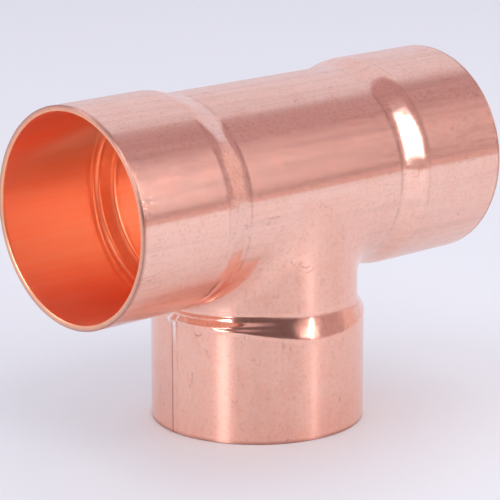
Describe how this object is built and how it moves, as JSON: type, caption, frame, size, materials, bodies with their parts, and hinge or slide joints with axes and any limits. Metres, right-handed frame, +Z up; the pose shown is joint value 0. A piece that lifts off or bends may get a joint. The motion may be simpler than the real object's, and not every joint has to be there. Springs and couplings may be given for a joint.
{
  "type": "tee fitting",
  "caption": "Equal tee formed from copper tube, with plain cup sockets that join a branch to a straight run by soldering.",
  "frame": {"origin": "centre of the branch socket's mouth, on which the fitting stands", "axes": "+X along the run, +Z up the branch's axis from its mouth to the run, +Y across the run"},
  "size_m": [0.159, 0.0708, 0.1149],
  "materials": {
    "copper": "satin, pale pink drawn copper"
  },
  "bodies": {
    "root": {"tee_body": "copper"}
  },
  "joints": []
}
